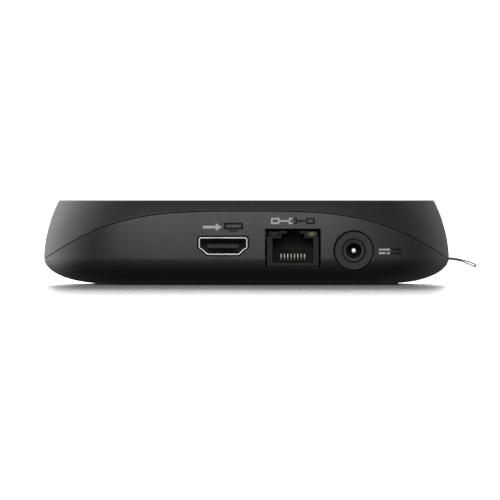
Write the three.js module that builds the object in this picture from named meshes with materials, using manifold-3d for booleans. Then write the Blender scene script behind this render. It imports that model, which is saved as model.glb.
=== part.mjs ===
// A streaming media player: a low, rounded-square set-top box that stands on a rubber pad.
// Millimetres, +Z up. The front faces -Y and the sockets face +Y.
// The origin is the centre of the pad's bottom face, so the table is at z = 0.
import * as THREE from "three";
import { mergeVertices } from "three/addons/utils/BufferGeometryUtils.js";
import Module from "manifold-3d";

const wasm = await Module();
wasm.setup();

// ---------------------------------------------------------------- driving dimensions

const HALF_WIDTH = 62.25; // half the width at the widest line, and the depth in front of the origin
const HALF_DEPTH_BACK = 64.75; // depth behind the origin before the port panel trims it
const HEIGHT = 25.7; // top face above the table
const CORNER_POWER = 4; // superellipse power of the plan, between a circle (2) and a square
const LEAN = 4.65; // how far the side leans in from the widest line to the top
const LEAN_POWER = 1.88; // how late that lean comes
const TOP_EDGE_RADIUS = 0.8;
const WIDEST_Z = 8; // height of the widest line
const UNDER_WIDTH = 18; // the rounded underside is a quarter ellipse this wide
const BASE_Z = 0.25; // flat bottom of the lower shell
const WALL = 2;
const CEILING_Z = HEIGHT - WALL;
const FLOOR_Z = 3; // inside face of the bottom
const INNER_UNDER_WIDTH = UNDER_WIDTH - 1.5;

// The parting line runs level round the front and sides, and arches over the sockets at the back.
const SEAM_Z = 7.8;
const SEAM_RISE = 14.75;
const SEAM_SHOULDER = 3.4;
const SEAM_CROWN = 1.15;
const SEAM_GAP = 0.3;
const PANEL_LEAN = 0.27; // share of the upper shell's lean that the port panel below the arch takes
const LAP_OUTER = 0.9; // skirt of the upper shell outside the lap
const LAP_INNER = 1.2; // face of the lower shell's lip
const LAP_HEIGHT = 1.3;

const GAP = 0.3; // clearance between pieces that fit or rest against each other
const FINE_GAP = 0.05; // the same for metal set in moulded plastic

const PAD = { half: 46.8, top: 1.1, pocketTop: 1.35 };
const BOARD = { inset: 5, bottom: 7.4, top: 8.6 };
const ON_BOARD = BOARD.top + GAP; // where the board's components stand
const CASE_SCREW_AT = 36; // case screws stand at (+-36, +-36)
const BOARD_SCREWS = [[-50, 2], [48, 20], [0, -48]];

const VIDEO = { x: 7.1, face: 61.8, back: 50.6, wall: 0.45 };
const NETWORK = { x: -14.1, halfWidth: 7.9, bottom: 5.6, top: 16.5, face: 61, back: 46 };
const POWER = { x: -32.6, z: 10.4, face: 60.9, back: 49, radius: 5.8, bore: 2.25, mouth: 3.45 };
const USB = { y: 12, bottom: 9.15, top: 14.85, halfWidth: 6.55, face: -60.6, back: -47.1 };
const FINDER = { y: -24, z: 13.2, halfLength: 7, halfHeight: 2.5, proud: 0.3 };
const RESET = { x: 24, y: -24 };
const WINDOW = { z: 13.2, halfWidth: 8.7, halfHeight: 2.2 };
const STATUS = { x: 16, z: 11.3, radius: 1.1 };
const TAG = { halfWidth: 6, z: 7.78, exit: -62.3, reach: 8.45, droop: 2.3, thin: 0.5, loop: 0.95 };

const COLUMNS = 64; // points round the shells
const CURVE_STEPS = 4; // steps in each rounded corner of an outline

// ---------------------------------------------------------------- solids

// A closed three.js geometry as a manifold solid that faces outwards.
function solid(geometry) {
  const bare = geometry.index ? geometry.toNonIndexed() : geometry.clone();
  bare.deleteAttribute("normal");
  bare.deleteAttribute("uv");
  const merged = mergeVertices(bare, 1e-4);
  const vertProperties = new Float32Array(merged.attributes.position.array);
  const triVerts = new Uint32Array(merged.index.array);
  const made = new wasm.Manifold(new wasm.Mesh({ numProp: 3, vertProperties, triVerts }));
  if (made.volume() > 0) return made;
  const turned = triVerts.slice();
  for (let i = 0; i < turned.length; i += 3) {
    turned[i + 1] = triVerts[i + 2];
    turned[i + 2] = triVerts[i + 1];
  }
  return new wasm.Manifold(new wasm.Mesh({ numProp: 3, vertProperties, triVerts: turned }));
}

function join(...solids) {
  return solids.reduce((whole, piece) => whole.add(piece));
}

function cut(body, ...tools) {
  return tools.reduce((left, tool) => left.subtract(tool), body);
}

function box([x0, x1], [y0, y1], [z0, z1]) {
  const geometry = new THREE.BoxGeometry(x1 - x0, y1 - y0, z1 - z0);
  geometry.translate((x0 + x1) / 2, (y0 + y1) / 2, (z0 + z1) / 2);
  return solid(geometry);
}

// A block of full size (w, d, h) that stands on z with its middle at (x, y).
function block(x, y, z, w, d, h) {
  return box([x - w / 2, x + w / 2], [y - d / 2, y + d / 2], [z, z + h]);
}

function rodX([x0, x1], y, z, radius, sides = 20) {
  const geometry = new THREE.CylinderGeometry(radius, radius, x1 - x0, sides);
  geometry.rotateZ(Math.PI / 2).translate((x0 + x1) / 2, y, z);
  return solid(geometry);
}

function rodY(x, [y0, y1], z, radius, sides = 20) {
  const geometry = new THREE.CylinderGeometry(radius, radius, y1 - y0, sides);
  geometry.translate(x, (y0 + y1) / 2, z);
  return solid(geometry);
}

function rodZ(x, y, [z0, z1], radius, sides = 20) {
  const geometry = new THREE.CylinderGeometry(radius, radius, z1 - z0, sides);
  geometry.rotateX(Math.PI / 2).translate(x, y, (z0 + z1) / 2);
  return solid(geometry);
}

// A solid turned about a line along Y through (x, z): the profile holds [radius, y] points.
function turnedY(x, z, profile, sides = 32) {
  const points = profile.map(([radius, y]) => new THREE.Vector2(radius, y));
  return solid(new THREE.LatheGeometry(points, sides).translate(x, 0, z));
}

function turnedZ(x, y, profile, sides = 16) {
  const points = profile.map(([radius, z]) => new THREE.Vector2(radius, z));
  return solid(new THREE.LatheGeometry(points, sides).rotateX(Math.PI / 2).translate(x, y, 0));
}

function extrude(shape, depth) {
  return new THREE.ExtrudeGeometry(shape, { depth, bevelEnabled: false, curveSegments: CURVE_STEPS });
}

// A prism of an outline drawn in (x, z) that runs along Y.
function prismY(shape, [y0, y1]) {
  return solid(extrude(shape, y1 - y0).rotateX(Math.PI / 2).translate(0, y1, 0));
}

// A prism of an outline drawn in (y, z) that runs along X.
function prismX(shape, [x0, x1]) {
  const geometry = extrude(shape, x1 - x0);
  return solid(geometry.rotateX(Math.PI / 2).rotateZ(Math.PI / 2).translate(x0, 0, 0));
}

function prismZ(shape, [z0, z1]) {
  return solid(extrude(shape, z1 - z0).translate(0, 0, z0));
}

function roundedRectangle(x, y, halfWidth, halfHeight, radius) {
  const shape = new THREE.Shape();
  const [left, right, low, high] = [x - halfWidth, x + halfWidth, y - halfHeight, y + halfHeight];
  shape.moveTo(left + radius, low);
  shape.lineTo(right - radius, low);
  shape.absarc(right - radius, low + radius, radius, -Math.PI / 2, 0);
  shape.lineTo(right, high - radius);
  shape.absarc(right - radius, high - radius, radius, 0, Math.PI / 2);
  shape.lineTo(left + radius, high);
  shape.absarc(left + radius, high - radius, radius, Math.PI / 2, Math.PI);
  shape.lineTo(left, low + radius);
  shape.absarc(left + radius, low + radius, radius, Math.PI, 1.5 * Math.PI);
  return shape;
}

// ---------------------------------------------------------------- nodes

const player = new THREE.Group();

function add(name, body, material) {
  const { numProp, vertProperties, triVerts } = body.getMesh();
  const geometry = new THREE.BufferGeometry();
  const position = new THREE.InterleavedBuffer(vertProperties, numProp);
  geometry.setAttribute("position", new THREE.InterleavedBufferAttribute(position, 3, 0));
  geometry.setIndex(new THREE.BufferAttribute(triVerts, 1));
  const flat = geometry.toNonIndexed();
  flat.computeVertexNormals();
  const mesh = new THREE.Mesh(flat, material);
  mesh.name = name;
  player.add(mesh);
}

function finish(color, roughness, metalness = 0) {
  return new THREE.MeshStandardMaterial({ color, roughness, metalness });
}

const SATIN_BLACK = () => finish(0x1c1c1e, 0.5);
const SOCKET_BLACK = () => finish(0x17171a, 0.42);
const RUBBER = () => finish(0x121212, 0.9);
const SHIELD_STEEL = () => finish(0xb4b6ba, 0.32, 1);
const GOLD = () => finish(0xc9a24a, 0.28, 1);
const CHIP = () => finish(0x1a1b1e, 0.6);
const SCREW_STEEL = () => finish(0x3a3b3e, 0.4, 1);

// ---------------------------------------------------------------- outline of the case

// Direction of the plan's outline at a polar angle, on a unit superellipse.
function planDirection(angle) {
  const along = Math.abs(Math.cos(angle)) ** CORNER_POWER;
  const across = Math.abs(Math.sin(angle)) ** CORNER_POWER;
  const scale = (along + across) ** (-1 / CORNER_POWER);
  return [Math.cos(angle) * scale, Math.sin(angle) * scale];
}

function planPoint(angle, inset, z) {
  const [across, along] = planDirection(angle);
  const halfDepth = along > 0 ? HALF_DEPTH_BACK : HALF_WIDTH;
  return [(HALF_WIDTH - inset) * across, (halfDepth - inset) * along, z];
}

// How far the side of the upper shell leans in at a height.
function lean(z) {
  const rise = Math.max(0, z - WIDEST_Z) / (HEIGHT - WIDEST_Z);
  return LEAN * rise ** LEAN_POWER;
}

function seamAcross(x) {
  const reach = Math.min(1, Math.abs(x) / HALF_WIDTH);
  return SEAM_Z + SEAM_RISE * (1 - reach ** SEAM_SHOULDER) ** SEAM_CROWN;
}

// Height of the parting line at a polar angle: level in front, arched behind.
function seamAt(angle) {
  if (Math.sin(angle) <= 0) return SEAM_Z;
  const [across] = planDirection(angle);
  let z = SEAM_Z;
  for (let i = 0; i < 40; i += 1) {
    z = seamAcross((HALF_WIDTH - lean(z)) * across);
  }
  return z;
}

// A closed skin: profileAt(angle) lists [inset, z] from the face that looks up at the axis,
// out, down and back to the face that looks down at the axis.
function wrap(profileAt) {
  const rings = [];
  for (let column = 0; column < COLUMNS; column += 1) {
    const angle = (column / COLUMNS) * 2 * Math.PI;
    rings.push(profileAt(angle).map(([inset, z]) => planPoint(angle, inset, z)));
  }
  const steps = rings[0].length;
  const positions = rings.flat(2);
  const upPole = COLUMNS * steps;
  const downPole = upPole + 1;
  positions.push(0, 0, rings[0][0][2], 0, 0, rings[0][steps - 1][2]);
  const faces = [];
  for (let column = 0; column < COLUMNS; column += 1) {
    const here = column * steps;
    const next = ((column + 1) % COLUMNS) * steps;
    faces.push(upPole, here, next);
    faces.push(here + steps - 1, downPole, next + steps - 1);
    for (let step = 0; step < steps - 1; step += 1) {
      faces.push(here + step, here + step + 1, next + step + 1);
      faces.push(here + step, next + step + 1, next + step);
    }
  }
  const geometry = new THREE.BufferGeometry();
  geometry.setAttribute("position", new THREE.Float32BufferAttribute(positions, 3));
  geometry.setIndex(faces);
  return solid(geometry);
}

function sweep(steps, from, to, point) {
  return Array.from({ length: steps + 1 }, (_, i) => point(from + ((to - from) * i) / steps));
}

// The rounded top edge, from the flat top to the side.
function topEdge(grow = 0) {
  const shoulder = HEIGHT - TOP_EDGE_RADIUS;
  const turn = (angle) => [
    lean(shoulder) + TOP_EDGE_RADIUS * (1 - Math.sin(angle)) - grow,
    shoulder + TOP_EDGE_RADIUS * Math.cos(angle),
  ];
  return sweep(3, 0, Math.PI / 2, turn);
}

// Inset of the port panel at a height: flush with the upper shell along a parting line at seam.
function panelInset(seam, z) {
  return lean(seam) - PANEL_LEAN * (lean(seam) - lean(z));
}

// The rounded underside, from a height down to the flat bottom, on a line inset by start.
function underCurve(from, start) {
  const depth = WIDEST_Z - BASE_Z;
  const turn = (angle) => [
    start + UNDER_WIDTH * (1 - Math.cos(angle)),
    WIDEST_Z - depth * Math.sin(angle),
  ];
  return sweep(6, Math.asin((WIDEST_Z - from) / depth), Math.PI / 2, turn);
}

// The whole outside of the case without the port panel, grown or shrunk by an amount.
function envelope(grow) {
  return wrap(() => [
    ...topEdge(grow),
    ...sweep(8, HEIGHT - TOP_EDGE_RADIUS - 1, WIDEST_Z, (z) => [lean(z) - grow, z]),
    ...underCurve(WIDEST_Z - 0.5, -grow),
  ]);
}

// ---------------------------------------------------------------- case

const CASE_SCREWS = [[1, 1], [-1, 1], [-1, -1], [1, -1]].map((sign) => sign.map((s) => s * CASE_SCREW_AT));

// The video socket's outline in (x, z): square shoulders above, a step and a slope below.
function videoOutline(grow) {
  const half = 7 + grow;
  const high = 14.1 + grow;
  const low = 9.55 - grow;
  const corner = 0.6 + grow / 2;
  const shape = new THREE.Shape();
  shape.moveTo(VIDEO.x - 4.75 - grow / 2, low);
  shape.lineTo(VIDEO.x + 4.75 + grow / 2, low);
  shape.lineTo(VIDEO.x + 6.05 + grow * 0.8, 10.85 - grow / 2);
  shape.lineTo(VIDEO.x + half, 11.3 - grow / 2);
  shape.absarc(VIDEO.x + half - corner, high - corner, corner, 0, Math.PI / 2);
  shape.absarc(VIDEO.x - half + corner, high - corner, corner, Math.PI / 2, Math.PI);
  shape.lineTo(VIDEO.x - half, 11.3 - grow / 2);
  shape.lineTo(VIDEO.x - 6.05 - grow * 0.8, 10.85 - grow / 2);
  return shape;
}

function tagSlot() {
  const half = TAG.halfWidth + 0.4;
  return box([-HALF_WIDTH - 5, -59.6], [-half, half], [TAG.z - 0.5, TAG.z + 0.5]);
}

function usbOpening() {
  const outline = roundedRectangle(USB.y, (USB.bottom + USB.top) / 2, USB.halfWidth + 0.35, 3.1, 0.5);
  return prismX(outline, [-HALF_WIDTH - 5, -50]);
}

function upperShell() {
  const skin = wrap((angle) => {
    const seam = seamAt(angle);
    const rebate = Math.min(seam + LAP_HEIGHT + GAP, CEILING_Z - 0.2);
    return [
      ...topEdge(),
      ...sweep(5, HEIGHT - TOP_EDGE_RADIUS, seam, (z) => [lean(z), z]).slice(1),
      [lean(seam) + LAP_OUTER, seam],
      [lean(rebate) + LAP_OUTER, rebate],
      ...sweep(2, rebate, CEILING_Z, (z) => [lean(z) + WALL, z]),
    ];
  });
  const bosses = CASE_SCREWS.map(([x, y]) => rodZ(x, y, [6, CEILING_Z + 0.5], 3.2, 12));
  const pilots = CASE_SCREWS.map(([x, y]) => rodZ(x, y, [5, 14.5], 1.6, 12));
  const finderHole = prismX(
    roundedRectangle(FINDER.y, FINDER.z, FINDER.halfLength + GAP, FINDER.halfHeight + GAP, 2.7),
    [50, HALF_WIDTH + 5],
  );
  const windowHole = prismY(
    roundedRectangle(0, WINDOW.z, WINDOW.halfWidth + GAP, WINDOW.halfHeight + GAP, 1.2),
    [-HALF_WIDTH - 5, -55],
  );
  const statusHole = rodY(STATUS.x, [-HALF_WIDTH - 5, -55], STATUS.z, STATUS.radius + GAP, 16);
  const holes = [usbOpening(), finderHole, windowHole, statusHole, tagSlot()];
  return cut(join(skin, ...bosses), ...pilots, ...holes);
}

function lowerShell() {
  const innerDepth = WIDEST_Z - FLOOR_Z;
  const skin = wrap((angle) => {
    const seam = seamAt(angle);
    const foot = panelInset(seam, WIDEST_Z);
    const edge = seam - SEAM_GAP;
    const low = Math.min(edge, WIDEST_Z) - 0.25;
    const lip = Math.min(seam + LAP_HEIGHT, CEILING_Z - 0.5);
    const inside = (turn) => [
      foot + WALL + INNER_UNDER_WIDTH * (1 - Math.cos(turn)),
      WIDEST_Z - innerDepth * Math.sin(turn),
    ];
    return [
      ...sweep(3, Math.PI / 2, 0, inside),
      [lean(lip) + WALL, lip],
      [lean(lip) + LAP_INNER, lip],
      [lean(edge) + LAP_INNER, edge],
      ...sweep(3, edge, low + 0.2, (z) => [panelInset(seam, z), z]),
      ...underCurve(low, foot),
    ];
  });
  const posts = [
    ...CASE_SCREWS.map(([x, y]) => rodZ(x, y, [2, 5.7], 3.2, 12)),
    ...BOARD_SCREWS.map(([x, y]) => rodZ(x, y, [2, BOARD.bottom - GAP], 3, 12)),
  ];
  const holes = [
    ...CASE_SCREWS.map(([x, y]) => rodZ(x, y, [-1, 7], 1.6, 12)),
    ...CASE_SCREWS.map(([x, y]) => rodZ(x, y, [-1, 2.95], 2.9, 12)),
    ...BOARD_SCREWS.map(([x, y]) => rodZ(x, y, [3.6, 9], 1.45, 12)),
    rodZ(RESET.x, RESET.y, [-1, 5], 1.1, 12),
  ];
  const padPocket = prismZ(padOutline(PAD.half + GAP), [-1, PAD.pocketTop]);
  const networkHole = box(
    [NETWORK.x - NETWORK.halfWidth - 0.5, NETWORK.x + NETWORK.halfWidth + 0.5],
    [54, 70],
    [NETWORK.bottom - 0.3, NETWORK.top + 0.5],
  );
  const videoHole = prismY(videoOutline(VIDEO.wall + 0.35), [54, 70]);
  const powerHole = rodY(POWER.x, [52, 70], POWER.z, POWER.radius + GAP, 32);
  const sockets = [networkHole, videoHole, powerHole, usbOpening()];
  return cut(join(skin, ...posts), ...holes, padPocket, ...sockets, tagSlot());
}

function padOutline(half) {
  const shape = new THREE.Shape();
  for (let column = 0; column < COLUMNS; column += 1) {
    const [across, along] = planDirection((column / COLUMNS) * 2 * Math.PI);
    if (column) shape.lineTo(half * across, half * along);
    else shape.moveTo(half * across, half * along);
  }
  return shape;
}

function basePad() {
  const pinhole = rodZ(RESET.x, RESET.y, [-1, 3], 1.4, 16);
  return cut(prismZ(padOutline(PAD.half), [0, PAD.top]), pinhole);
}

// A pan-head screw that points up (+1) or down (-1) from under its head.
function screw(x, y, headZ, length, up, headRadius, shankRadius) {
  const profile = [
    [0, -1.15],
    [headRadius * 0.7, -1.15],
    [headRadius, -0.7],
    [headRadius, 0],
    [shankRadius, 0],
    [shankRadius, length - 0.8],
    [0.3, length],
    [0, length],
  ];
  const body = turnedZ(x, y, profile.map(([radius, z]) => [radius, headZ + up * z]), 12);
  const top = headZ - up * 1.15;
  const span = [Math.min(top - up, top + up * 0.6), Math.max(top - up, top + up * 0.6)];
  const slots = [
    box([x - 1.3, x + 1.3], [y - 0.25, y + 0.25], span),
    box([x - 0.25, x + 0.25], [y - 1.3, y + 1.3], span),
  ];
  return cut(body, ...slots);
}

function irWindow() {
  const face = prismY(
    roundedRectangle(0, WINDOW.z, WINDOW.halfWidth, WINDOW.halfHeight, 0.9),
    [-HALF_WIDTH - 5, -58],
  );
  const flange = box([-10.5, 10.5], [-58.7, -57.9], [WINDOW.z - 3.6, WINDOW.z + 3.2]);
  return join(face.intersect(envelope(-0.05)), flange);
}

function statusLightPipe() {
  const rod = rodY(STATUS.x, [-HALF_WIDTH - 5, -57.4], STATUS.z, STATUS.radius, 16);
  return rod.intersect(envelope(-0.05));
}

function finderButton() {
  const cap = prismX(
    roundedRectangle(FINDER.y, FINDER.z, FINDER.halfLength, FINDER.halfHeight, 2.4),
    [57.5, HALF_WIDTH + 5],
  );
  const flange = prismX(
    roundedRectangle(FINDER.y, FINDER.z, FINDER.halfLength + 1.6, FINDER.halfHeight + 1.4, 2),
    [57, 60],
  );
  return join(cap.intersect(envelope(FINDER.proud)), flange.intersect(envelope(-WALL - GAP)));
}

// The folded cloth tag: a flat hem inside the case, two layers through the slot, and a loop outside.
function fabricTag() {
  const line = (reach) => [
    TAG.exit - TAG.reach * reach,
    TAG.z - TAG.droop * reach ** 1.8,
    THREE.MathUtils.lerp(TAG.thin, TAG.loop, THREE.MathUtils.smoothstep(reach, 0.45, 0.75)) / 2,
  ];
  const stations = sweep(9, 0, 0.95, line);
  const upper = stations.map(([x, z, half]) => [x, z + half]);
  const lower = stations.map(([x, z, half]) => [x, z - half]).reverse();
  const tip = line(1);
  const hem = [[-59, TAG.z - 0.25], [-59, TAG.z - 0.6], [-58.2, TAG.z - 0.6]];
  const hemBack = hem.map(([x, z]) => [x, 2 * TAG.z - z]).reverse();
  const outline = [...upper, [tip[0], tip[1]], ...lower, ...hem, ...hemBack];
  const shape = new THREE.Shape(outline.map(([x, z]) => new THREE.Vector2(x, z)));
  return prismY(shape, [-TAG.halfWidth, TAG.halfWidth]);
}

add("upper_shell", upperShell(), SATIN_BLACK());
add("lower_shell", lowerShell(), SATIN_BLACK());
add("base_pad", basePad(), RUBBER());
CASE_SCREWS.forEach(([x, y], i) => {
  add(`case_screw_${i + 1}`, screw(x, y, 2.65, 10.8, 1, 2.5, 1.25), SCREW_STEEL());
});
add("ir_window", irWindow(), finish(0x120a10, 0.12));
add("status_light_pipe", statusLightPipe(), finish(0xd8dadc, 0.25));
add("finder_button", finderButton(), SATIN_BLACK());
add("fabric_tag", fabricTag(), finish(0x6a5a78, 0.85));

// ---------------------------------------------------------------- video socket

function videoShell() {
  const outside = prismY(videoOutline(VIDEO.wall), [VIDEO.back, VIDEO.face]);
  return cut(outside, prismY(videoOutline(0), [VIDEO.back - 1, VIDEO.face + 1]));
}

const VIDEO_TONGUE_Z = 11.75;
const VIDEO_TONGUE_HALF = 4.85;

function videoInsulator() {
  const plug = prismY(videoOutline(-FINE_GAP * 2), [VIDEO.back + 0.3, VIDEO.back + 3.4]);
  const tongue = box(
    [VIDEO.x - VIDEO_TONGUE_HALF, VIDEO.x + VIDEO_TONGUE_HALF],
    [VIDEO.back + 3, VIDEO.face - 1.4],
    [VIDEO_TONGUE_Z - 0.55, VIDEO_TONGUE_Z + 0.55],
  );
  return join(plug, tongue);
}

// A row of contacts on one face of a tongue, held by one bar at the root.
function contactRow(count, pitch, width, middle, place) {
  const first = middle - ((count - 1) * pitch) / 2;
  const fingers = Array.from({ length: count }, (_, i) => place(first + i * pitch, width / 2, false));
  return join(place(middle, (count * pitch) / 2, true), ...fingers);
}

function videoContacts() {
  const low = VIDEO_TONGUE_Z + 0.55 + FINE_GAP;
  const root = VIDEO.back + 3.4 + FINE_GAP;
  return contactRow(9, 1, 0.45, VIDEO.x, (x, half, isBar) => {
    const tip = isBar ? root + 0.6 : VIDEO.face - 2.2;
    return box([x - half, x + half], [root, tip], [low, low + 0.15]);
  });
}

add("video_socket_shell", videoShell(), SHIELD_STEEL());
add("video_socket_insulator", videoInsulator(), SOCKET_BLACK());
add("video_socket_contacts", videoContacts(), GOLD());

// ---------------------------------------------------------------- network socket

const LED_WINDOW = { width: 3.5, height: 1.5, drop: 0.25, side: 0.4 };
const NETWORK_CAVITY = { halfWidth: 6.15, low: 6.8, high: 14.2, depth: 12.2 };

function networkHousing() {
  const { x, halfWidth, bottom, top, face, back } = NETWORK;
  const mouth = [face - NETWORK_CAVITY.depth, face + 1];
  const body = box([x - halfWidth, x + halfWidth], [back, face], [bottom, top]);
  const cavity = box(
    [x - NETWORK_CAVITY.halfWidth, x + NETWORK_CAVITY.halfWidth],
    mouth,
    [NETWORK_CAVITY.low, NETWORK_CAVITY.high],
  );
  const latchStep = box([x - 3.45, x + 3.45], mouth, [NETWORK_CAVITY.high - 0.1, 15.6]);
  const latchNotch = box([x - 1.9, x + 1.9], [face - 9, face + 1], [15.5, top + 1]);
  const ledSlots = [1, -1].map((side) => {
    const outer = x + side * (halfWidth + 1);
    const inner = x + side * (halfWidth - LED_WINDOW.side - LED_WINDOW.width - FINE_GAP);
    const span = [Math.min(outer, inner), Math.max(outer, inner)];
    return box(span, [face - 13, face + 1], [top - LED_WINDOW.drop - LED_WINDOW.height - FINE_GAP, top + 1]);
  });
  return cut(body, cavity, latchStep, latchNotch, ...ledSlots);
}

function networkLight(side) {
  const outer = NETWORK.x + side * (NETWORK.halfWidth - LED_WINDOW.side);
  const inner = outer - side * LED_WINDOW.width;
  const span = [Math.min(outer, inner), Math.max(outer, inner)];
  const high = NETWORK.top - LED_WINDOW.drop;
  return box(span, [NETWORK.face - 12.6, NETWORK.face], [high - LED_WINDOW.height, high]);
}

// Eight sprung wires that rise from the mouth's floor towards the back.
function networkContacts() {
  const floor = NETWORK_CAVITY.low + 0.1;
  const wire = [
    [NETWORK.face - 1.6, floor],
    [NETWORK.face - 1.6, floor + 0.45],
    [NETWORK.face - 9.5, floor + 2.7],
    [NETWORK.face - 9.5, floor + 2.25],
    [NETWORK.face - 3, floor],
  ];
  const outline = new THREE.Shape(wire.map(([y, z]) => new THREE.Vector2(y, z)));
  return contactRow(8, 1.02, 0.45, NETWORK.x, (x, half, isBar) => {
    if (!isBar) return prismX(outline, [x - half, x + half]);
    return box([x - half, x + half], [NETWORK.face - 2.6, NETWORK.face - 2], [floor, floor + 0.3]);
  });
}

add("network_socket_housing", networkHousing(), SOCKET_BLACK());
add("network_socket_contacts", networkContacts(), GOLD());
add("network_light_green", networkLight(1), finish(0x2e3a2c, 0.35));
add("network_light_yellow", networkLight(-1), finish(0x5c6040, 0.35));

// ---------------------------------------------------------------- power socket

const POWER_BORE_FLOOR = 51.5;

function powerHousing() {
  const { x, z, face, back, radius, bore, mouth } = POWER;
  const barrel = turnedY(x, z, [
    [0, back],
    [radius, back],
    [radius, face - 0.25],
    [radius - 0.25, face],
    [mouth, face],
    [bore, face - 1.1],
    [bore, POWER_BORE_FLOOR],
    [0, POWER_BORE_FLOOR],
  ]);
  const rear = box([x - 4.6, x + 4.6], [46.8, back + 1], [5.4, 15.6]);
  const contactSlot = box([x - 1.5, x + 1.5], [52, 56.6], [z - 4, z - 1.5]);
  return cut(join(barrel, rear), contactSlot);
}

function powerPin() {
  const { x, z, face } = POWER;
  const start = POWER_BORE_FLOOR + GAP;
  return turnedY(x, z, [
    [0, start],
    [1.3, start],
    [1.3, start + 0.6],
    [0.7, start + 0.9],
    [0.7, face - 1],
    [0.35, face - 0.6],
    [0, face - 0.6],
  ], 16);
}

function powerSleeveContact() {
  const { x, z } = POWER;
  const leaf = [
    [52.4, z - 3.6],
    [56.2, z - 3.6],
    [56.2, z - 3.3],
    [54.4, z - 2.5],
    [52.4, z - 3.2],
  ];
  const outline = new THREE.Shape(leaf.map(([y, height]) => new THREE.Vector2(y, height)));
  return prismX(outline, [x - 1.1, x + 1.1]);
}

add("power_socket_housing", powerHousing(), SOCKET_BLACK());
add("power_socket_pin", powerPin(), SHIELD_STEEL());
add("power_socket_sleeve_contact", powerSleeveContact(), SHIELD_STEEL());

// ---------------------------------------------------------------- USB socket

const USB_Z = (USB.bottom + USB.top) / 2;
const USB_TONGUE = [USB_Z + 0.3, USB_Z + 2];

function usbShell() {
  const halfHeight = (USB.top - USB.bottom) / 2;
  const outside = roundedRectangle(USB.y, USB_Z, USB.halfWidth, halfHeight, 0.4);
  const inside = roundedRectangle(USB.y, USB_Z, USB.halfWidth - 0.35, halfHeight - 0.35, 0.2);
  return cut(prismX(outside, [USB.face, USB.back]), prismX(inside, [USB.face - 1, USB.back + 1]));
}

function usbInsulator() {
  const half = USB.halfWidth - 0.35 - FINE_GAP;
  const halfHeight = (USB.top - USB.bottom) / 2 - 0.35 - FINE_GAP;
  const plug = box(
    [USB.back - 3, USB.back - 0.3],
    [USB.y - half, USB.y + half],
    [USB_Z - halfHeight, USB_Z + halfHeight],
  );
  const tongue = box([USB.face + 1, USB.back - 2.9], [USB.y - 5.55, USB.y + 5.55], USB_TONGUE);
  return join(plug, tongue);
}

function usbContacts() {
  const high = USB_TONGUE[0] - FINE_GAP;
  const root = USB.back - 3 - FINE_GAP;
  return contactRow(4, 2.3, 1, USB.y, (y, half, isBar) => {
    const tip = isBar ? root - 0.8 : USB.face + 2;
    return box([tip, root], [y - half, y + half], [high - 0.25, high]);
  });
}

add("usb_socket_shell", usbShell(), SHIELD_STEEL());
add("usb_socket_insulator", usbInsulator(), SOCKET_BLACK());
add("usb_socket_contacts", usbContacts(), GOLD());

// ---------------------------------------------------------------- push switches

const PUSH = { bodyBack: 51.5, bodyFront: 55.2, plungerTip: 56.7 };

function finderSwitchBody() {
  const body = box([PUSH.bodyBack, PUSH.bodyFront], [FINDER.y - 3, FINDER.y + 3], [ON_BOARD, FINDER.z + 3.2]);
  return cut(body, rodX([PUSH.bodyBack + 1.2, PUSH.bodyFront + 1], FINDER.y, FINDER.z, 2));
}

function resetSwitchBody() {
  const body = block(RESET.x, RESET.y, 5.2, 4.4, 4.4, BOARD.bottom - GAP - 5.2);
  return cut(body, rodZ(RESET.x, RESET.y, [4, 6.6], 1.1, 16));
}

add("finder_switch_body", finderSwitchBody(), CHIP());
add(
  "finder_switch_plunger",
  rodX([PUSH.bodyBack + 1.8, PUSH.plungerTip], FINDER.y, FINDER.z, 1.7),
  finish(0xe6e4dc, 0.5),
);
add("reset_switch_body", resetSwitchBody(), CHIP());
add("reset_switch_plunger", rodZ(RESET.x, RESET.y, [4.3, 6.1], 0.8, 16), finish(0xe6e4dc, 0.5));

// ---------------------------------------------------------------- main board and what it carries

function mainBoard() {
  const outline = padOutline(HALF_WIDTH - BOARD.inset);
  const plate = prismZ(outline, [BOARD.bottom, BOARD.top]);
  const deep = [BOARD.bottom - 1, BOARD.top + 1];
  const networkNotch = box([NETWORK.x - 8.3, NETWORK.x + 8.3], [NETWORK.back - GAP, 70], deep);
  const powerNotch = box([POWER.x - 6.1, POWER.x + 6.1], [46.5, 70], deep);
  const bossHoles = CASE_SCREWS.map(([x, y]) => rodZ(x, y, deep, 3.8));
  const screwHoles = BOARD_SCREWS.map(([x, y]) => rodZ(x, y, deep, 1.5, 12));
  return cut(plate, networkNotch, powerNotch, ...bossHoles, ...screwHoles);
}

const PROCESSOR = { x: 0, y: -2, side: 17, top: ON_BOARD + 1.2 };

function heatSink() {
  const base = PROCESSOR.top + 1;
  const plate = block(0, -2, base, 40, 40, 2);
  const fins = Array.from({ length: 9 }, (_, i) => block(-18 + i * 4.5, -2, base + 1.9, 1.2, 40, 7));
  return join(plate, ...fins);
}

// A folded metal lid, open below, that stands over the radio.
function wirelessShieldCan() {
  const lid = block(-38, -21, ON_BOARD, 20, 17, 2.6);
  return cut(lid, block(-38, -21, ON_BOARD - 1, 19.4, 16.4, 3.3));
}

function inductor() {
  return prismZ(roundedRectangle(-30, 24, 3.5, 3.5, 0.8), [ON_BOARD, ON_BOARD + 4]);
}

function capacitor(x, y) {
  return turnedZ(x, y, [
    [0, ON_BOARD],
    [3.15, ON_BOARD],
    [3.15, ON_BOARD + 0.9],
    [2.95, ON_BOARD + 1.2],
    [3.15, ON_BOARD + 1.5],
    [3.15, ON_BOARD + 6.4],
    [2.8, ON_BOARD + 6.8],
    [0, ON_BOARD + 6.8],
  ], 12);
}

function irReceiver() {
  const body = box([-3.2, 3.2], [-56.4, -53.4], [ON_BOARD, 15.6]);
  return join(body, turnedY(0, WINDOW.z, [[0, -57.2], [1.5, -56.9], [2.2, -56.2], [2.2, -55], [0, -55]], 16));
}

const ANTENNA_Z = [22.7, 23.3];

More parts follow.
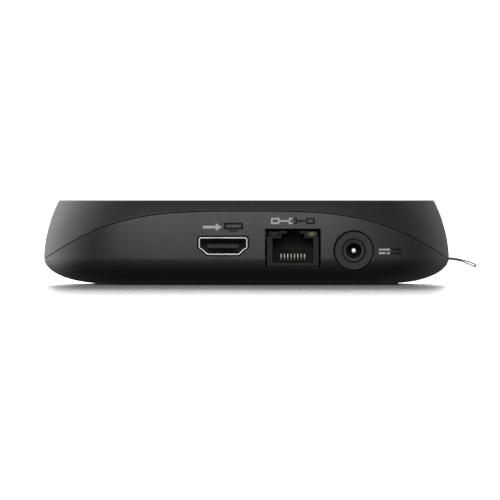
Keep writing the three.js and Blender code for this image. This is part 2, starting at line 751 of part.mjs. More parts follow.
function antenna(side) {
  const span = [side * 14, side * 44].sort((a, b) => a - b);
  const slot = [side * 20, side * 38].sort((a, b) => a - b);
  return cut(box(span, [-50, -41], ANTENNA_Z), box(slot, [-46.2, -44.8], [22, 24]));
}

// The antenna leads are held along their whole route, from the radio to each antenna.
function antennaLead(side, start) {
  const route = new THREE.CatmullRomCurve3([
    new THREE.Vector3(...start),
    new THREE.Vector3(start[0], start[1], start[2] + 1.6),
    new THREE.Vector3(side * 27, -37, 15),
    new THREE.Vector3(side * 26, -43, 19.6),
    new THREE.Vector3(side * 26, -43.2, ANTENNA_Z[0] - GAP),
  ]);
  const section = new THREE.Shape().absarc(0, 0, 0.6, 0, 2 * Math.PI);
  const options = { steps: 24, curveSegments: 4, bevelEnabled: false, extrudePath: route };
  return solid(new THREE.ExtrudeGeometry(section, options));
}

add("main_board", mainBoard(), finish(0x1f4a2e, 0.55));
BOARD_SCREWS.forEach(([x, y], i) => {
  add(`board_screw_${i + 1}`, screw(x, y, ON_BOARD, 4.6, -1, 2.2, 1.1), SCREW_STEEL());
});
add("main_processor", block(PROCESSOR.x, PROCESSOR.y, ON_BOARD, PROCESSOR.side, PROCESSOR.side, 1.2), CHIP());
add("thermal_pad", block(PROCESSOR.x, PROCESSOR.y, PROCESSOR.top + 0.1, 16, 16, 0.8), finish(0x8fa3b0, 0.85));
add("heat_sink", heatSink(), finish(0x9a9ca0, 0.4, 1));
add("memory_chip_1", block(15.5, -9, ON_BOARD, 9, 13, 1), CHIP());
add("memory_chip_2", block(15.5, 6, ON_BOARD, 9, 13, 1), CHIP());
add("flash_chip", block(32, 8, ON_BOARD, 11.5, 13, 1), CHIP());
add("wireless_shield_can", wirelessShieldCan(), SHIELD_STEEL());
add("network_transformer", block(NETWORK.x, 37.5, ON_BOARD, 15, 9.5, 5.2), CHIP());
add("power_inductor", inductor(), finish(0x3c3c40, 0.7));
[[-40, 13], [-40, 3], [26, 42]].forEach(([x, y], i) => {
  add(`capacitor_${i + 1}`, capacitor(x, y), finish(0xa8abb0, 0.35, 1));
});
add("timing_crystal", block(-14, 9, ON_BOARD, 3.2, 5, 0.9), SHIELD_STEEL());
add("ir_receiver", irReceiver(), finish(0x101014, 0.2));
add("status_led", block(STATUS.x, -56.1, ON_BOARD, 3, 1.8, 3), finish(0xe8e8e0, 0.3));
add("antenna_left", antenna(-1), finish(0xb08a5a, 0.4, 1));
add("antenna_right", antenna(1), finish(0xb08a5a, 0.4, 1));
add("antenna_lead_left", antennaLead(-1, [-34, -21, ON_BOARD + 3.3]), finish(0x202022, 0.5));
add("antenna_lead_right", antennaLead(1, [-25, -33, ON_BOARD + 0.6]), finish(0x202022, 0.5));

export default player;
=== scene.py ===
import math

import bmesh
import bpy
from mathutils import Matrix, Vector


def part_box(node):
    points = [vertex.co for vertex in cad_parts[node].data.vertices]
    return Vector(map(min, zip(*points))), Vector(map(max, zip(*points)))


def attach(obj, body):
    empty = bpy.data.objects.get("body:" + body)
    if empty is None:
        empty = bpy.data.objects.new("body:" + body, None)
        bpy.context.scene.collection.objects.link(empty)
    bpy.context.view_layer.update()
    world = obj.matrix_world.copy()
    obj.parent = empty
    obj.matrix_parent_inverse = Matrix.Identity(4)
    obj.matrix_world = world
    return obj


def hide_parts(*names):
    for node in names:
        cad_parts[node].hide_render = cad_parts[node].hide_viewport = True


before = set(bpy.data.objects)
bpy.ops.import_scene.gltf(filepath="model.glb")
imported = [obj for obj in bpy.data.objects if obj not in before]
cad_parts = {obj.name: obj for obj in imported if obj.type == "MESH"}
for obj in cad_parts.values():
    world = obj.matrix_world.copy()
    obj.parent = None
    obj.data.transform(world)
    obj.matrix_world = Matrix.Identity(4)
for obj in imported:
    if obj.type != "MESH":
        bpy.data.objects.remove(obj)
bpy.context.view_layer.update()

MM = 0.001


def node_box(name):
    """Lowest and highest corner of a CAD node, in millimetres."""
    low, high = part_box(name)
    return low / MM, high / MM


def middle(name):
    low, high = node_box(name)
    return (low + high) / 2


# ---------------------------------------- driving dimensions

HALF_WIDTH = node_box("lower_shell")[1].x  # at the widest line
HEIGHT = node_box("upper_shell")[1].z
HALF_DEPTH_BACK = 64.75  # depth behind the origin before the port panel trims it
CORNER_POWER = 4  # superellipse power of the plan
LEAN = 4.65  # how far the side leans in from the widest line to the top
LEAN_POWER = 1.88  # how late that lean comes
TOP_EDGE_RADIUS = 0.8
WIDEST_Z = 8  # height of the widest line
UNDER_WIDTH = 18  # the rounded underside is a quarter ellipse this wide
BASE_Z = 0.25  # bottom of the lower shell
WALL = 2
CEILING_Z = HEIGHT - WALL
FLOOR_Z = 3  # top of the lower shell's floor
INNER_UNDER_WIDTH = UNDER_WIDTH - 1.5
SEAM_Z = 7.8  # level stretch of the parting line
SEAM_RISE = 14.75  # its arch over the sockets
SEAM_SHOULDER = 3.4
SEAM_CROWN = 1.15
SEAM_GAP = 0.2
LAP_OUTER = 0.9  # the shells' lap joint: wall outside it, lip inside it and the lip's height
LAP_INNER = 1.2
LAP_HEIGHT = 1.3
GAP = 0.3  # between pieces that don't touch
CUT_DEPTH = 6  # how far the cut-outs reach into the case
SIDE_CUT_DEPTH = 8
BOSS_RADIUS = 3.2  # round the case screws
SCREW_BORE = 1.6
HEAD_BORE = 2.9
POST_RADIUS = 3  # under the board
POST_BORE = 1.45
RESET_BORE = 1.1
CONTACT_PITCH = 1.02  # of the network socket's eight wires
RIB = 0.4  # from one rib of the woven tag to the next
WEFT = 0.42  # from one cross thread of it to the next
PANEL_LEAN = 0.27  # share of the upper shell's lean that the port panel takes
EDGE = 0.11  # rounding of the case's moulded edges
MOUTH = 0.18  # rounding round the cut-outs

COLUMNS = 384  # points round the case
ARC = 5  # steps in a small rounded edge

# ---------------------------------------- mesh helpers


def placed(name, data):
    """A new object in the scene."""
    made = bpy.data.objects.new(name, data)
    bpy.context.scene.collection.objects.link(made)
    return made


def turned_towards(obj, at, towards):
    """Puts a camera or light at a place in metres and points it at another."""
    obj.location = at
    obj.rotation_mode = "QUATERNION"
    obj.rotation_quaternion = (Vector(towards) - Vector(at)).to_track_quat("-Z", "Y")


def new_object(name, points, faces):
    """An object from points in millimetres, with doubled points merged and faces turned outwards."""
    mesh = bpy.data.meshes.new(name)
    mesh.from_pydata([(x * MM, y * MM, z * MM) for x, y, z in points], [], faces)
    work = bmesh.new()
    work.from_mesh(mesh)
    bmesh.ops.remove_doubles(work, verts=work.verts, dist=1e-7)
    bmesh.ops.recalc_face_normals(work, faces=work.faces)
    work.to_mesh(mesh)
    work.free()
    return placed(name, mesh)


def loft(rings, loop=False):
    """A skin over rings of equal length: capped at both ends, or joined from the last to the first."""
    count = len(rings[0])
    points = [point for ring in rings for point in ring]
    faces = []
    for i in range(len(rings) if loop else len(rings) - 1):
        here = i * count
        there = (i + 1) % len(rings) * count
        for j in range(count):
            k = (j + 1) % count
            faces.append((here + j, here + k, there + k, there + j))
    if not loop:
        faces.append(tuple(range(count)))
        faces.append(tuple(range(len(points) - count, len(points))))
    return points, faces


def rounded(outline, radius, steps=ARC):
    """A closed outline with each corner turned into an arc."""
    made = []
    for i, corner in enumerate(outline):
        here = Vector(corner)
        before = Vector(outline[i - 1]) - here
        after = Vector(outline[(i + 1) % len(outline)]) - here
        turn = math.pi - before.angle(after)
        back = min(radius * math.tan(turn / 2), before.length * 0.48, after.length * 0.48)
        if turn < 0.01:
            made.extend([tuple(here)] * (steps + 1))
            continue
        start = here + before.normalized() * back
        end = here + after.normalized() * back
        true_radius = back / math.tan(turn / 2)
        inwards = (before.normalized() + after.normalized()).normalized()
        centre = here + inwards * (true_radius / math.cos(turn / 2))
        first = math.atan2(*(start - centre).yx)
        last = math.atan2(*(end - centre).yx)
        swing = (last - first + math.pi) % (2 * math.pi) - math.pi
        for step in range(steps + 1):
            angle = first + swing * step / steps
            across, up = math.cos(angle), math.sin(angle)
            made.append((centre.x + true_radius * across, centre.y + true_radius * up))
    return made


def rectangle(u, v, half_width, half_height, radius, steps=ARC):
    left, right, low, high = u - half_width, u + half_width, v - half_height, v + half_height
    return rounded([(left, low), (right, low), (right, high), (left, high)], radius, steps)


def circle(u, v, radius, sides):
    angles = [2 * math.pi * i / sides for i in range(sides)]
    return [(u + radius * math.cos(angle), v + radius * math.sin(angle)) for angle in angles]


def evaluated(obj):
    """Applies the object's modifiers to its own mesh."""
    graph = bpy.context.evaluated_depsgraph_get()
    mesh = bpy.data.meshes.new_from_object(obj.evaluated_get(graph))
    obj.modifiers.clear()
    obj.data = mesh


def boolean(body, tools, operation):
    for tool in tools:
        modifier = body.modifiers.new(operation.lower(), "BOOLEAN")
        modifier.operation = operation
        modifier.solver = "EXACT"
        modifier.object = tool
    evaluated(body)
    for tool in tools:
        bpy.data.objects.remove(tool)


def shade(obj, crease=40):
    """Smooth shading that keeps flat faces flat beside their rounded edges."""
    mesh = obj.data
    mesh.polygons.foreach_set("use_smooth", [True] * len(mesh.polygons))
    mesh.set_sharp_from_angle(angle=math.radians(crease))
    modifier = obj.modifiers.new("normals", "WEIGHTED_NORMAL")
    modifier.keep_sharp = True
    modifier.weight = 80
    evaluated(obj)


def dress(obj, slot, body="case", stands_for=(), finish=None):
    """Gives a piece its material (its finish, or else its slot's), puts it in its body and hides the CAD
    nodes that it stands for.
    """
    obj.data.materials.clear()
    obj.data.materials.append(MATERIALS[finish or slot])
    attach(obj, body)
    if stands_for:
        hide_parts(*stands_for)
    return obj


# ---------------------------------------- materials

MATERIALS = {}


class Nodes:
    """The nodes of a material or of the world."""

    def __init__(self, tree):
        self.tree = tree

    def add(self, kind, **settings):
        node = self.tree.nodes.new(kind)
        for name, value in settings.items():
            setattr(node, name, value)
        return node

    def link(self, source, target):
        self.tree.links.new(source, target)

    def ranged(self, value, low, high, to_low=0.0, to_high=1.0, curve="LINEAR"):
        """Maps low..high of a value to to_low..to_high, with the ends held."""
        node = self.add("ShaderNodeMapRange", interpolation_type=curve)
        self.link(value, node.inputs["Value"])
        limits = {"From Min": low, "From Max": high, "To Min": to_low, "To Max": to_high}
        for name, limit in limits.items():
            node.inputs[name].default_value = limit
        return node.outputs["Result"]

    def math(self, operation, first, second):
        node = self.add("ShaderNodeMath", operation=operation)
        for socket, value in zip(node.inputs, (first, second)):
            if isinstance(value, (int, float)):
                socket.default_value = value
            else:
                self.link(value, socket)
        return node.outputs["Value"]


class Surface(Nodes):
    """A Principled material whose colour, roughness and bump come from patterns in the object's frame."""

    def __init__(self, slot, **constants):
        self.material = bpy.data.materials.new(slot)
        self.material.use_nodes = True
        super().__init__(self.material.node_tree)
        self.shader = self.tree.nodes["Principled BSDF"]
        for name, value in constants.items():
            self.shader.inputs[name.replace("_", " ")].default_value = value
        self.place = self.add("ShaderNodeTexCoord").outputs["Object"]
        MATERIALS[slot] = self.material

    def stretched(self, x, y, z):
        """The object's coordinates, scaled along each axis."""
        node = self.add("ShaderNodeMapping")
        self.link(self.place, node.inputs["Vector"])
        node.inputs["Scale"].default_value = (x, y, z)
        return node.outputs["Vector"]

    def noise(self, size_mm, detail, place=None):
        """Cloudy noise from 0 to 1, with blobs of about that size."""
        node = self.add("ShaderNodeTexNoise")
        node.inputs["Scale"].default_value = 1 / (size_mm * MM)
        node.inputs["Detail"].default_value = detail
        self.link(place or self.place, node.inputs["Vector"])
        return node.outputs["Fac"]

    def cloud(self, size_mm, detail, low, high, to_low=0.0, to_high=1.0):
        """Cloudy noise with its low..high spread over to_low..to_high."""
        return self.ranged(self.noise(size_mm, detail), low, high, to_low, to_high)

    def cells(self, size_mm, feature="F1"):
        node = self.add("ShaderNodeTexVoronoi", feature=feature)
        node.inputs["Scale"].default_value = 1 / (size_mm * MM)
        self.link(self.place, node.inputs["Vector"])
        return node.outputs["Distance"]

    def waves(self, period_mm, direction):
        """Straight bands: the node repeats every 2 pi / 20 at a scale of 1."""
        node = self.add("ShaderNodeTexWave", wave_type="BANDS", bands_direction=direction)
        node.inputs["Scale"].default_value = 0.314 / (period_mm * MM)
        self.link(self.place, node.inputs["Vector"])
        return node.outputs["Fac"]

    def blend(self, factor, first, second):
        """A colour between two: each is a tuple or another blend."""
        node = self.add("ShaderNodeMix", data_type="RGBA")
        self.link(factor, node.inputs["Factor"])
        for name, value in (("A", first), ("B", second)):
            target = next(s for s in node.inputs if s.name == name and s.type == "RGBA")
            if isinstance(value, tuple):
                target.default_value = (*value, 1)
            else:
                self.link(value, target)
        return next(s for s in node.outputs if s.type == "RGBA")

    def edges(self, radius_mm):
        """1 on sharp outside edges and 0 on flat faces."""
        bevel = self.add("ShaderNodeBevel", samples=4)
        bevel.inputs["Radius"].default_value = radius_mm * MM
        normal = self.add("ShaderNodeNewGeometry").outputs["Normal"]
        dot = self.add("ShaderNodeVectorMath", operation="DOT_PRODUCT")
        self.link(bevel.outputs["Normal"], dot.inputs[0])
        self.link(normal, dot.inputs[1])
        return self.ranged(dot.outputs["Value"], 0.995, 0.9)

    def colour(self, source):
        self.link(source, self.shader.inputs["Base Color"])

    def roughness(self, source):
        self.link(source, self.shader.inputs["Roughness"])

    def bump(self, height, depth_mm):
        node = self.add("ShaderNodeBump")
        node.inputs["Strength"].default_value = 1
        node.inputs["Distance"].default_value = depth_mm * MM
        self.link(height, node.inputs["Height"])
        self.link(node.outputs["Normal"], self.shader.inputs["Normal"])


def moulded(slot, dark, light, roughness, grain=(0.16, 0.006), worn=(0.06, 0.06, 0.062), gloss=0.5):
    """Moulded plastic: a spark-eroded grain (its size and depth), cloudy gloss and slightly rubbed edges."""
    made = Surface(slot, Specular_IOR_Level=gloss)
    rubbed = made.math("MULTIPLY", made.edges(0.25), made.cloud(2.5, 4, 0.42, 0.62))
    body = made.blend(made.cloud(14, 4, 0.35, 0.65), dark, light)
    made.colour(made.blend(rubbed, body, worn))
    soft = made.cloud(3, 5, 0.3, 0.7, roughness - 0.014, roughness + 0.014)
    made.roughness(made.math("SUBTRACT", soft, made.math("MULTIPLY", rubbed, 0.1)))
    grain_mm, depth_mm = grain
    made.bump(made.noise(grain_mm, 2), depth_mm)


def sheet_metal(slot, tone, roughness, direction="Z", lines_deep=0.002):
    """Rolled metal: faint drawing lines, smudged gloss and brighter edges."""
    made = Surface(slot, Metallic=1.0)
    along = {"X": (1, 14, 14), "Y": (14, 1, 14), "Z": (14, 14, 1)}[direction]
    lines = made.noise(1.2, 3, made.stretched(*along))
    smudge = made.noise(3, 4)
    shaded = tuple(channel * 0.82 for channel in tone)
    bright = tuple(min(1, channel * 1.15) for channel in tone)
    body = made.blend(made.ranged(smudge, 0.35, 0.65), shaded, tone)
    made.colour(made.blend(made.edges(0.1), body, bright))
    made.roughness(made.ranged(lines, 0.3, 0.7, roughness - 0.06, roughness + 0.08))
    made.bump(lines, lines_deep)


def make_materials():
    fine = (0.1, 0.003)
    dark_grey = (0.03, 0.03, 0.03)
    mid_grey = (0.08, 0.08, 0.08)
    moulded("case_black", (0.0152, 0.0152, 0.0157), (0.0168, 0.0168, 0.0173), 0.425)
    moulded("socket_plastic", (0.011, 0.011, 0.0115), (0.016, 0.016, 0.0165), 0.55, fine, dark_grey, 0.25)
    moulded("tongue_plastic", (0.035, 0.035, 0.036), (0.05, 0.05, 0.051), 0.6, fine, mid_grey, 0.2)
    moulded("barrel_plastic", (0.009, 0.009, 0.0095), (0.013, 0.013, 0.0135), 0.5, fine, dark_grey, 0.45)
    moulded("chip_black", (0.014, 0.014, 0.016), (0.022, 0.022, 0.025), 0.55, (0.12, 0.006))
    moulded("lead_jacket", (0.012, 0.012, 0.013), (0.02, 0.02, 0.021), 0.45, (0.3, 0.004))
    moulded("inductor_ferrite", (0.03, 0.03, 0.033), (0.06, 0.058, 0.056), 0.7, (0.2, 0.015))
    moulded("switch_plunger", (0.7, 0.68, 0.62), (0.78, 0.76, 0.7), 0.42, (0.2, 0.003), (0.85, 0.84, 0.8))
    moulded("thermal_pad", (0.2, 0.27, 0.33), (0.27, 0.34, 0.4), 0.8, (0.3, 0.02), (0.35, 0.42, 0.48))
    sheet_metal("socket_steel", (0.68, 0.68, 0.7), 0.24, "Y")
    sheet_metal("screw_steel", (0.12, 0.12, 0.125), 0.36)
    sheet_metal("rolled_rim", (0.62, 0.62, 0.63), 0.36, "Y", 0.0004)
    sheet_metal("turned_pin", (0.92, 0.92, 0.93), 0.4, "Y", 0.0004)
    sheet_metal("contact_gold", (0.83, 0.62, 0.3), 0.22, "Y")
    # a dark copy of the contact gold: painted shade for the sprung wires inside the network socket's mouth
    sheet_metal("painted_shade_contact", (0.16, 0.154, 0.14), 0.36, "Z")
    sheet_metal("shaded_contact", (0.12, 0.1, 0.07), 0.5, "Y")
    sheet_metal("heat_sink_aluminium", (0.5, 0.51, 0.53), 0.38, "Y")
    sheet_metal("capacitor_can", (0.66, 0.67, 0.69), 0.26)
    sheet_metal("antenna_copper", (0.72, 0.42, 0.26), 0.34, "X")
    rubber()
    tinted_window()
    light_pipe()
    light_lens("light_green", "network_light_green", (0.004, 0.013, 0.005), (0.009, 0.032, 0.013))
    light_lens("light_yellow", "network_light_yellow", (0.035, 0.037, 0.005), (0.19, 0.2, 0.09))
    woven_tag()
    solder_mask()


def rubber():
    made = Surface("pad_rubber", Specular_IOR_Level=0.35)
    dust = made.cloud(0.5, 4, 0.62, 0.74)
    body = made.blend(made.cloud(9, 4, 0.35, 0.65), (0.011, 0.011, 0.0115), (0.017, 0.017, 0.0175))
    made.colour(made.blend(dust, body, (0.045, 0.043, 0.04)))
    made.roughness(made.cloud(3, 5, 0.3, 0.7, 0.78, 0.92))
    made.bump(made.cells(0.35), 0.03)


def tinted_window():
    made = Surface("window_tint", Coat_Weight=0.6, Coat_Roughness=0.05, Specular_IOR_Level=0.55)
    made.colour(made.blend(made.cloud(6, 2, 0.35, 0.65), (0.01, 0.004, 0.008), (0.016, 0.006, 0.012)))
    made.roughness(made.cloud(1.5, 5, 0.35, 0.7, 0.05, 0.13))
    made.bump(made.noise(3, 2), 0.004)


def light_pipe():
    made = Surface("light_pipe", Transmission_Weight=0.35, IOR=1.49)
    made.colour(made.blend(made.cloud(1.2, 3, 0.35, 0.65), (0.62, 0.63, 0.64), (0.76, 0.77, 0.78)))
    made.roughness(made.cloud(0.5, 3, 0.35, 0.65, 0.2, 0.34))
    made.bump(made.noise(0.2, 2), 0.004)


def light_lens(slot, name, rim, core):
    """An unlit coloured light window: slightly cloudy, and paler over the lamp in its middle."""
    made = Surface(slot, Specular_IOR_Level=0.15)
    at = middle(name)
    reach = made.add("ShaderNodeVectorMath", operation="DISTANCE")
    made.link(made.stretched(1, 0, 1), reach.inputs[0])
    reach.inputs[1].default_value = (at.x * MM, 0, at.z * MM)
    spot = made.ranged(reach.outputs["Value"], 0.35 * MM, 1.25 * MM, 1, 0)
    cloud = made.cloud(0.9, 4, 0.35, 0.65, 0.7, 1)
    made.colour(made.blend(made.math("MULTIPLY", spot, cloud), rim, core))
    made.roughness(made.cloud(0.6, 4, 0.35, 0.65, 0.24, 0.4))
    made.bump(made.noise(0.12, 2), 0.004)


def woven_tag():
    """Woven ribbon: thread tones in step with the ribs and cross threads of its mesh."""
    made = Surface("tag_fabric", Sheen_Weight=0.12, Sheen_Roughness=0.5, Specular_IOR_Level=0.25)
    threads = made.math("MULTIPLY", made.waves(RIB * 2, "Y"), made.waves(WEFT, "X"))
    cloud = made.cloud(2.5, 4, 0.3, 0.7)
    body = made.blend(cloud, (0.105, 0.085, 0.13), (0.15, 0.125, 0.18))
    made.colour(made.blend(made.ranged(threads, 0.0, 0.9), body, (0.22, 0.19, 0.255)))
    made.roughness(made.cloud(0.4, 3, 0.3, 0.7, 0.78, 0.95))
    made.bump(made.math("ADD", threads, made.noise(0.08, 2)), 0.03)


def solder_mask():
    """Green board lacquer over copper tracks, which show as raised lighter lines."""
    made = Surface("board_green", Specular_IOR_Level=0.5, Coat_Weight=0.3, Coat_Roughness=0.2)
    tracks = made.ranged(made.cells(2.4, "DISTANCE_TO_EDGE"), 0.05, 0.09, 1, 0)
    body = made.blend(made.cloud(16, 4, 0.35, 0.65), (0.006, 0.045, 0.02), (0.009, 0.065, 0.03))
    made.colour(made.blend(tracks, body, (0.02, 0.12, 0.055)))
    made.roughness(made.cloud(2, 4, 0.3, 0.7, 0.3, 0.46))
    made.bump(tracks, 0.02)


def print_with_painted_highlight(name, middle_x):
    """Dark ink with a painted highlight: the +X side of a mark is painted pale, as if lit from that side,
    and the other side is dark.
    """
    made = Surface(name + "_ink_and_painted_highlight", Specular_IOR_Level=0.15)
    split = made.add("ShaderNodeSeparateXYZ")
    made.link(made.place, split.inputs[0])
    # painted highlight: the ink turns pale on the +X side of the mark
    painted_highlight_side = made.ranged(split.outputs["X"], (middle_x - 0.3) * MM, (middle_x + 0.3) * MM)
    patch = made.cloud(0.5, 3, 0.3, 0.62)
    light = made.blend(patch, (0.42, 0.42, 0.425), (0.62, 0.62, 0.63))
    made.colour(made.blend(painted_highlight_side, (0.004, 0.004, 0.0045), light))
    made.roughness(made.cloud(0.4, 3, 0.3, 0.7, 0.5, 0.62))
    made.bump(made.noise(0.1, 2), 0.003)


make_materials()

# ---------------------------------------- outline of the case


def plan_direction(angle):
    """Direction of the plan's outline at a polar angle, on a unit superellipse."""
    along = abs(math.cos(angle)) ** CORNER_POWER
    across = abs(math.sin(angle)) ** CORNER_POWER
    scale = (along + across) ** (-1 / CORNER_POWER)
    return math.cos(angle) * scale, math.sin(angle) * scale


def plan_point(angle, inset, z):
    across, along = plan_direction(angle)
    half_depth = HALF_DEPTH_BACK if along > 0 else HALF_WIDTH
    return ((HALF_WIDTH - inset) * across, (half_depth - inset) * along, z)


def lean(z):
    """How far the side of the upper shell leans in at a height."""
    rise = max(0, z - WIDEST_Z) / (HEIGHT - WIDEST_Z)
    return LEAN * rise**LEAN_POWER


def seam_across(x):
    reach = min(1, abs(x) / HALF_WIDTH)
    return SEAM_Z + SEAM_RISE * (1 - reach**SEAM_SHOULDER) ** SEAM_CROWN


def seam_at(angle):
    """Height of the parting line at a polar angle: level in front, arched behind."""
    if math.sin(angle) <= 0:
        return SEAM_Z
    across, _ = plan_direction(angle)
    z = SEAM_Z
    for _ in range(40):
        z = seam_across((HALF_WIDTH - lean(z)) * across)
    return z


def panel_inset(seam, z):
    """Inset of the lower shell's outside at a height, below a parting line at seam."""
    panel = lean(seam) - PANEL_LEAN * (lean(seam) - lean(z))
    if z >= WIDEST_Z:
        return panel
    sine = min(1, (WIDEST_Z - z) / (WIDEST_Z - BASE_Z))
    return panel + UNDER_WIDTH * (1 - math.sqrt(1 - sine * sine))


def depth_at(inset, x, half_depth):
    """Depth of an inset outline at a distance across."""
    share = min(1, abs(x) / (HALF_WIDTH - inset))
    return (half_depth - inset) * (1 - share**CORNER_POWER) ** (1 / CORNER_POWER)


# Each of these places a point (u, v) of a drawing on one face of the case, sunk by an amount.


def on_back(u, v, sink):
    return (u, depth_at(panel_inset(seam_across(u), v), u, HALF_DEPTH_BACK) - sink, v)


def on_front(u, v, sink):
    return (u, sink - depth_at(lean(v), u, HALF_WIDTH), v)


def reach_at(y, z):
    """Half the width of the upper shell at a depth and a height."""
    half_depth = HALF_DEPTH_BACK if y > 0 else HALF_WIDTH
    share = abs(y) / (half_depth - lean(z))
    return (HALF_WIDTH - lean(z)) * (1 - share**CORNER_POWER) ** (1 / CORNER_POWER)


def on_right(u, v, sink):
    return (reach_at(u, v) - sink, u, v)


def on_left(u, v, sink):
    return (sink - reach_at(u, v), u, v)


def wrap(name, profile_at):
    """A closed skin from profiles of [inset, z] that run from the axis out, down and back to it."""
    angles = [2 * math.pi * i / COLUMNS for i in range(COLUMNS)]
    columns = [[plan_point(angle, inset, z) for inset, z in profile_at(angle)] for angle in angles]
    rings = [list(ring) for ring in zip(*columns)]
    first, last = rings[0], rings[-1]
    for share in (0.8, 0.6, 0.4, 0.2, 0.02):
        rings.insert(0, [(x * share, y * share, z) for x, y, z in first])
        rings.append([(x * share, y * share, z) for x, y, z in last])
    return new_object(name, *loft(rings))


def sweep(steps, start, end, point):
    return [point(start + (end - start) * i / steps) for i in range(steps + 1)]


def corner(before, at, after, radius, steps=ARC):
    """The arc that rounds one corner of a profile."""
    arc = rounded([before, at, after], radius, steps)
    return arc[steps + 1 : 2 * (steps + 1)]


def quarter_turn(steps):
    return [math.pi / 2 * i / steps for i in range(steps + 1)]


def swept(name, outline_at, steps, place, loop=False):
    """A skin over one drawing repeated at each (grow, sink or distance) step."""
    rings = [[place(u, v, w) for u, v in outline_at(grow)] for grow, w in steps]
    return new_object(name, *loft(rings, loop))


def hole(outline_at, place, depth, radius=MOUTH):
    """A tool for a cut-out with a rounded rim: outline_at(grow) is drawn on a face of the case."""
    rim = [(radius * (1 - math.sin(t)), radius * (1 - math.cos(t))) for t in quarter_turn(ARC)]
    return swept("tool", outline_at, [(radius, -3), *rim, (0, depth)], place)


def plug(name, outline_at, place, proud, depth, radius):
    """A piece that fills a cut-out, with a face that follows the case and a rounded edge."""
    face = outline_at(-radius)
    u0 = sum(u for u, _ in face) / len(face)
    v0 = sum(v for _, v in face) / len(face)
    rings = []
    for share in (0.02, 0.25, 0.5, 0.75, 0.9):
        inner = [(u0 + (u - u0) * share, v0 + (v - v0) * share) for u, v in face]
        rings.append([place(u, v, -proud) for u, v in inner])
    steps = [(radius * (math.sin(t) - 1), radius * (1 - math.cos(t)) - proud) for t in quarter_turn(ARC)]
    for grow, sink in [*steps, (0, depth)]:
        rings.append([place(u, v, sink) for u, v in outline_at(grow)])
    return new_object(name, *loft(rings))


# Each of these places a point (u, v) of a drawing at a distance w along an axis.


def along_x(u, v, w):
    return (w, u, v)


def along_y(u, v, w):
    return (u, w, v)


def flat_on_table(u, v, w):
    return (u, v, w)


def prism(name, outline_at, span, radius, place):
    """A prism with rounded ends: outline_at(grow) is drawn across the axis."""
    start, end = span
    steps = [(radius * (math.sin(t) - 1), start + radius * (1 - math.cos(t))) for t in quarter_turn(3)]
    steps += [(grow, end - (w - start)) for grow, w in reversed(steps)]
    return swept(name, outline_at, steps, place)


def tube(name, inside_at, span, wall, radius, place):
    """An open tube from the far end of span to its mouth, with a rolled rim."""
    back, face = span
    out = math.copysign(1, face - back)
    turns = quarter_turn(4)
    outer = [(wall - radius * (1 - math.cos(t)), face - out * radius * (1 - math.sin(t))) for t in turns]
    inner = [(wall - grow, w) for grow, w in reversed(outer)]
    made = swept(name, inside_at, [(wall, back), *outer, *inner, (0, back)], place, loop=True)
    shade(made, 50)
    return made


def turned_y(name, x, z, profile, sides=96):
    """A solid turned about a line along Y, from (radius, y) pairs that start and end on that line."""
    rings = []
    for radius, y in profile:
        rings.append([(x + u, y, z + v) for u, v in circle(0, 0, max(radius, 1e-6), sides)])
    return new_object(name, *loft(rings))


def soften(line, radius, steps):
    """An open line with its inner corners rounded."""
    made = [line[0]]
    for before, at, after in zip(line, line[1:], line[2:]):
        made += corner(before, at, after, radius, steps)
    return [*made, line[-1]]


def normals_of(line):
    """Unit normals along an open line."""
    made = []
    for i in range(len(line)):
        before, after = line[max(0, i - 1)], line[min(len(line) - 1, i + 1)]
        run, rise = after[0] - before[0], after[1] - before[1]
        length = math.hypot(run, rise)
        made.append((-rise / length, run / length))
    return made


def thickened(line, half):
    """The closed outline of a line drawn that thick."""
    sides = normals_of(line)
    left = [(u + nu * half, v + nv * half) for (u, v), (nu, nv) in zip(line, sides)]
    right = [(u - nu * half, v - nv * half) for (u, v), (nu, nv) in zip(line, sides)]
    return left + right[::-1]


def evenly(line, step):
    """The same line with its points a step apart."""
    runs = [0.0]
    for a, b in zip(line, line[1:]):
        runs.append(runs[-1] + math.dist(a, b))
    count = round(runs[-1] / step)
    made, i = [], 0
    for k in range(count + 1):
        at = runs[-1] * k / count
        while i < len(runs) - 2 and runs[i + 1] < at:
            i += 1
        share = (at - runs[i]) / (runs[i + 1] - runs[i])
        made.append(tuple(a + (b - a) * share for a, b in zip(line[i], line[i + 1])))
    return made


def joined(name, parts):
    """One object from several."""
    mesh = bpy.data.meshes.new(name)
    work = bmesh.new()
    for part in parts:
        work.from_mesh(part.data)
        bpy.data.objects.remove(part)
    work.to_mesh(mesh)
    work.free()
    return placed(name, mesh)


def refine(name, slot, edge_mm, finish=None):
    """Keeps a CAD node's shape, merges its flat faces, rounds its edges and gives it its material."""
    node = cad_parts[name]
    mesh = node.data
    mesh.polygons.foreach_set("use_smooth", [True] * len(mesh.polygons))
    if "custom_normal" in mesh.attributes:
        mesh.attributes.remove(mesh.attributes["custom_normal"])
    node.modifiers.new("weld", "WELD").merge_threshold = 1e-6
    flat = node.modifiers.new("flat", "DECIMATE")
    flat.decimate_type = "DISSOLVE"
    flat.angle_limit = math.radians(0.5)
    bevel = node.modifiers.new("bevel", "BEVEL")
    bevel.width = edge_mm * MM
    bevel.segments = 2
    bevel.limit_method = "ANGLE"
    bevel.angle_limit = math.radians(35)
    bevel.use_clamp_overlap = True
    normals = node.modifiers.new("normals", "WEIGHTED_NORMAL")
    normals.weight = 80
    mesh.materials.clear()
    mesh.materials.append(MATERIALS[finish or slot])


def rod_z(x, y, z0, z1, radius):
    rings = [[(u, v, z) for u, v in circle(x, y, radius, 48)] for z in (z0, z1)]
    return new_object("tool", *loft(rings))


# ---------------------------------------- places and outlines of the openings

